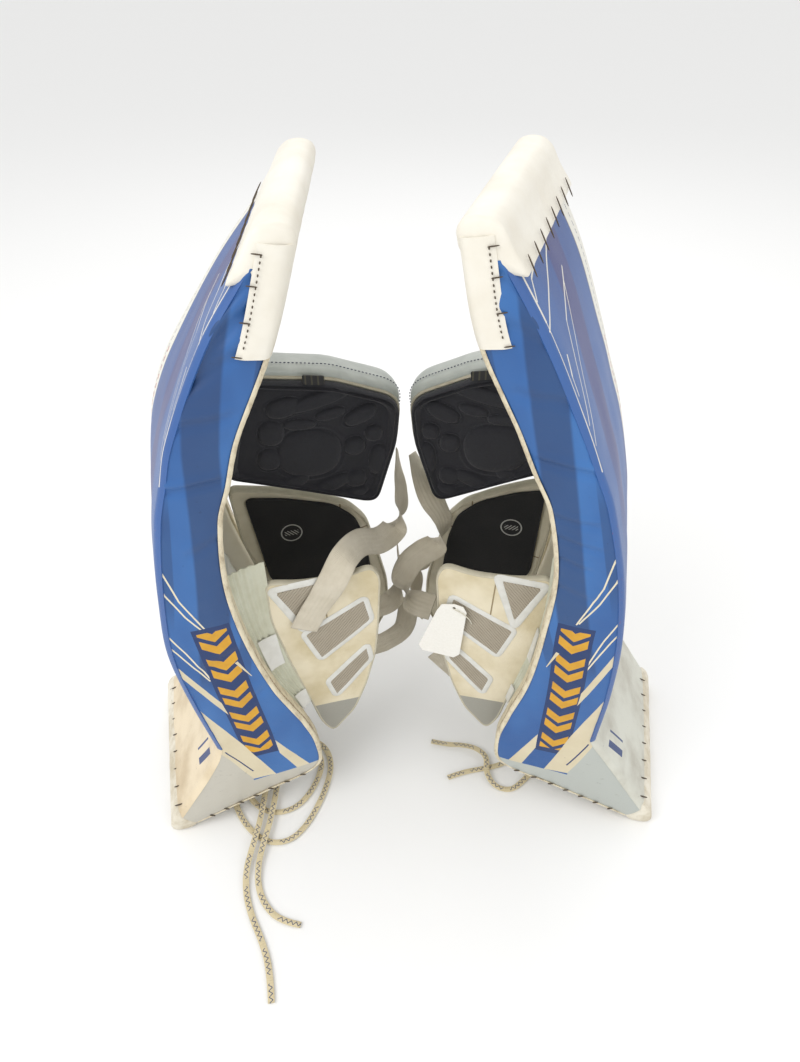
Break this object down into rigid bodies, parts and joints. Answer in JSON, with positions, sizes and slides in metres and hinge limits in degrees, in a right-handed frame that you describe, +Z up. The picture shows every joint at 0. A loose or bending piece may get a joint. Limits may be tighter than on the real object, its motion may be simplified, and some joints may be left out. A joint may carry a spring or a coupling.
{
  "type": "goalie leg pads",
  "caption": "Pair of padded goalie leg pads standing on their toes, leaning together at the knee blocks, with thigh, boot, calf and knee pieces that flex.",
  "frame": {"origin": "centre of the bottom of the pair's box, on the floor, without the free laces and the tag", "axes": "+Z up along the pads, X from one pad to the other (left pad at -X, right pad at +X), the viewer is towards -Y"},
  "size_m": [0.8588, 0.5937, 0.9046],
  "materials": {
    "blue_leather": "satin",
    "white_leather": "satin",
    "boot_leather": "worn satin",
    "foam": "closed-cell foam",
    "board": "matte",
    "binding": "worn",
    "knee_cover": "satin",
    "knee_mesh": "knitted mesh",
    "liner": "brushed",
    "wing_fabric": "coated",
    "felt": "loop pile",
    "hook": "woven hook",
    "gusset_mesh": "ribbed mesh",
    "webbing": "elastic webbing",
    "toe_trim": "satin",
    "bridge": "matte",
    "lace": "braided",
    "card": "matte card",
    "string": "twisted"
  },
  "bodies": {
    "left_shin": {"left_shin_core": "foam", "left_shin_face": "blue_leather", "left_shin_board": "board", "left_shin_outer_wall": "blue_leather", "left_shin_inner_wall": "white_leather", "left_edge_binding": "binding", "left_gusset": "gusset_mesh", "left_knee_strap": "webbing", "left_calf_straps": "webbing"},
    "left_thigh": {"left_thigh_core": "foam", "left_thigh_face": "blue_leather", "left_thigh_outer_wall": "blue_leather", "left_thigh_inner_wall": "white_leather", "left_top_cap": "white_leather"},
    "left_boot": {"left_boot_core": "foam", "left_boot_face": "boot_leather", "left_boot_outer_wall": "boot_leather", "left_boot_inner_wall": "white_leather", "left_toe_binding": "toe_trim", "left_toe_bridge": "bridge", "left_lace_outer": "lace", "left_lace_inner": "lace"},
    "left_knee": {"left_knee_block": "knee_cover", "left_knee_cushion": "knee_mesh"},
    "left_wing": {"left_inner_wing": "wing_fabric", "left_calf_liner": "liner"},
    "left_wrap": {"left_calf_wrap": "felt", "left_hook_patches": "hook"},
    "right_shin": {"right_shin_core": "foam", "right_shin_face": "blue_leather", "right_shin_board": "board", "right_shin_outer_wall": "blue_leather", "right_shin_inner_wall": "white_leather", "right_edge_binding": "binding", "right_gusset": "gusset_mesh", "right_knee_strap": "webbing", "right_calf_straps": "webbing"},
    "right_thigh": {"right_thigh_core": "foam", "right_thigh_face": "blue_leather", "right_thigh_outer_wall": "blue_leather", "right_thigh_inner_wall": "white_leather", "right_top_cap": "white_leather"},
    "right_boot": {"right_boot_core": "foam", "right_boot_face": "boot_leather", "right_boot_outer_wall": "boot_leather", "right_boot_inner_wall": "white_leather", "right_toe_binding": "toe_trim", "right_toe_bridge": "bridge", "right_lace_outer": "lace", "right_lace_inner": "lace"},
    "right_knee": {"right_knee_block": "knee_cover", "right_knee_cushion": "knee_mesh"},
    "right_wing": {"right_inner_wing": "wing_fabric", "right_calf_liner": "liner"},
    "right_wrap": {"right_calf_wrap": "felt", "right_hook_patches": "hook"},
    "tag": {"hang_tag": "card", "tag_string": "string"}
  },
  "joints": [
    {"name": "pads_apart", "type": "slide", "parent": "left_shin", "child": "right_shin", "axis": [1, 0, 0], "range_m": [0, 0.25]},
    {"name": "left_thigh_flex", "type": "hinge", "parent": "left_shin", "child": "left_thigh", "pos_m": [-0.29094, -0.01195, 0.64], "axis": [0.225, -0.9744, 0], "range_deg": [-5, 4]},
    {"name": "left_boot_flex", "type": "hinge", "parent": "left_shin", "child": "left_boot", "pos_m": [-0.30468, -0.01512, 0.1786], "axis": [0.225, -0.9744, 0], "range_deg": [-5, 5]},
    {"name": "left_knee_swing", "type": "hinge", "parent": "left_shin", "child": "left_knee", "pos_m": [-0.2366, 0.08475, 0.587], "axis": [-0.2768, -0.0639, -0.9588], "range_deg": [-12, 8]},
    {"name": "left_wing_swing", "type": "hinge", "parent": "left_shin", "child": "left_wing", "pos_m": [-0.22214, 0.07988, 0.297], "axis": [0.1544, 0.0356, -0.9874], "range_deg": [-12, 10]},
    {"name": "left_wrap_swing", "type": "hinge", "parent": "left_shin", "child": "left_wrap", "pos_m": [-0.16156, -0.08471, 0.295], "axis": [-0.1577, -0.0364, 0.9868], "range_deg": [-8, 25], "deforming": ["left_gusset", "left_knee_strap", "left_calf_straps"]},
    {"name": "right_thigh_flex", "type": "hinge", "parent": "right_shin", "child": "right_thigh", "pos_m": [0.23881, 0.00008, 0.64], "axis": [0.225, 0.9744, 0], "range_deg": [-5, 4]},
    {"name": "right_boot_flex", "type": "hinge", "parent": "right_shin", "child": "right_boot", "pos_m": [0.29299, -0.01242, 0.1786], "axis": [0.225, 0.9744, 0], "range_deg": [-5, 5]},
    {"name": "right_knee_swing", "type": "hinge", "parent": "right_shin", "child": "right_knee", "pos_m": [0.19178, 0.0951, 0.587], "axis": [-0.2768, 0.0639, 0.9588], "range_deg": [-12, 8]},
    {"name": "right_wing_swing", "type": "hinge", "parent": "right_shin", "child": "right_wing", "pos_m": [0.19875, 0.08528, 0.297], "axis": [0.1544, -0.0356, 0.9874], "range_deg": [-12, 10]},
    {"name": "right_wrap_swing", "type": "hinge", "parent": "right_shin", "child": "right_wrap", "pos_m": [0.16156, -0.08471, 0.295], "axis": [-0.1577, 0.0364, -0.9868], "range_deg": [-8, 25], "deforming": ["right_gusset", "right_knee_strap", "right_calf_straps"]},
    {"name": "tag_swing", "type": "hinge", "parent": "right_wrap", "child": "tag", "pos_m": [0.08496, -0.07421, 0.348], "axis": [0.225, 0.9744, 0], "range_deg": [-15, 15]}
  ]
}
